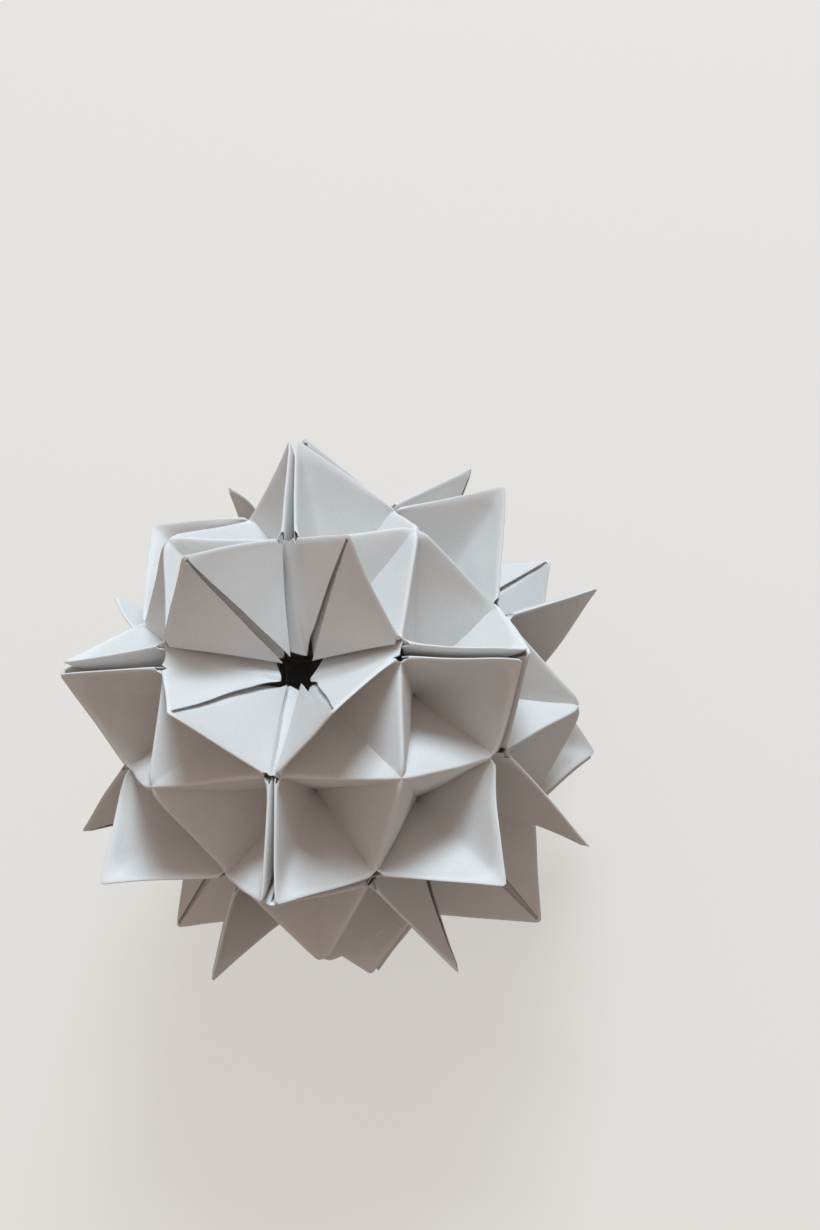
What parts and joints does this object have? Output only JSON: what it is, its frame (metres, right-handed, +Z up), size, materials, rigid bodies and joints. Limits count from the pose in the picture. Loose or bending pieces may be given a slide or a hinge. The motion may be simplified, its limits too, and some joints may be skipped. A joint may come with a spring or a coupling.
{
  "type": "kusudama paper ball",
  "caption": "Ball of interlocked folded paper squares with ridged peaks, sharp three-sided spikes and open flower-shaped pits that take a stem or a hanging cord.",
  "frame": {"origin": "on the floor below the centre of the ball, between the four tips it stands on", "axes": "+Z up through the lowest and the topmost flower pit; +X, +Y and their opposites point through the four pits at the sides, and -Y is the pit that holds the stem"},
  "size_m": [0.1234, 0.1234, 0.1234],
  "materials": {
    "paper": "matte"
  },
  "bodies": {
    "root": {"unit_upper_right": "paper", "unit_upper_back": "paper", "unit_upper_left": "paper", "unit_upper_front": "paper", "unit_middle_back_right": "paper", "unit_middle_back_left": "paper", "unit_middle_front_left": "paper", "unit_middle_front_right": "paper", "unit_lower_right": "paper", "unit_lower_back": "paper", "unit_lower_left": "paper", "unit_lower_front": "paper"}
  },
  "joints": []
}
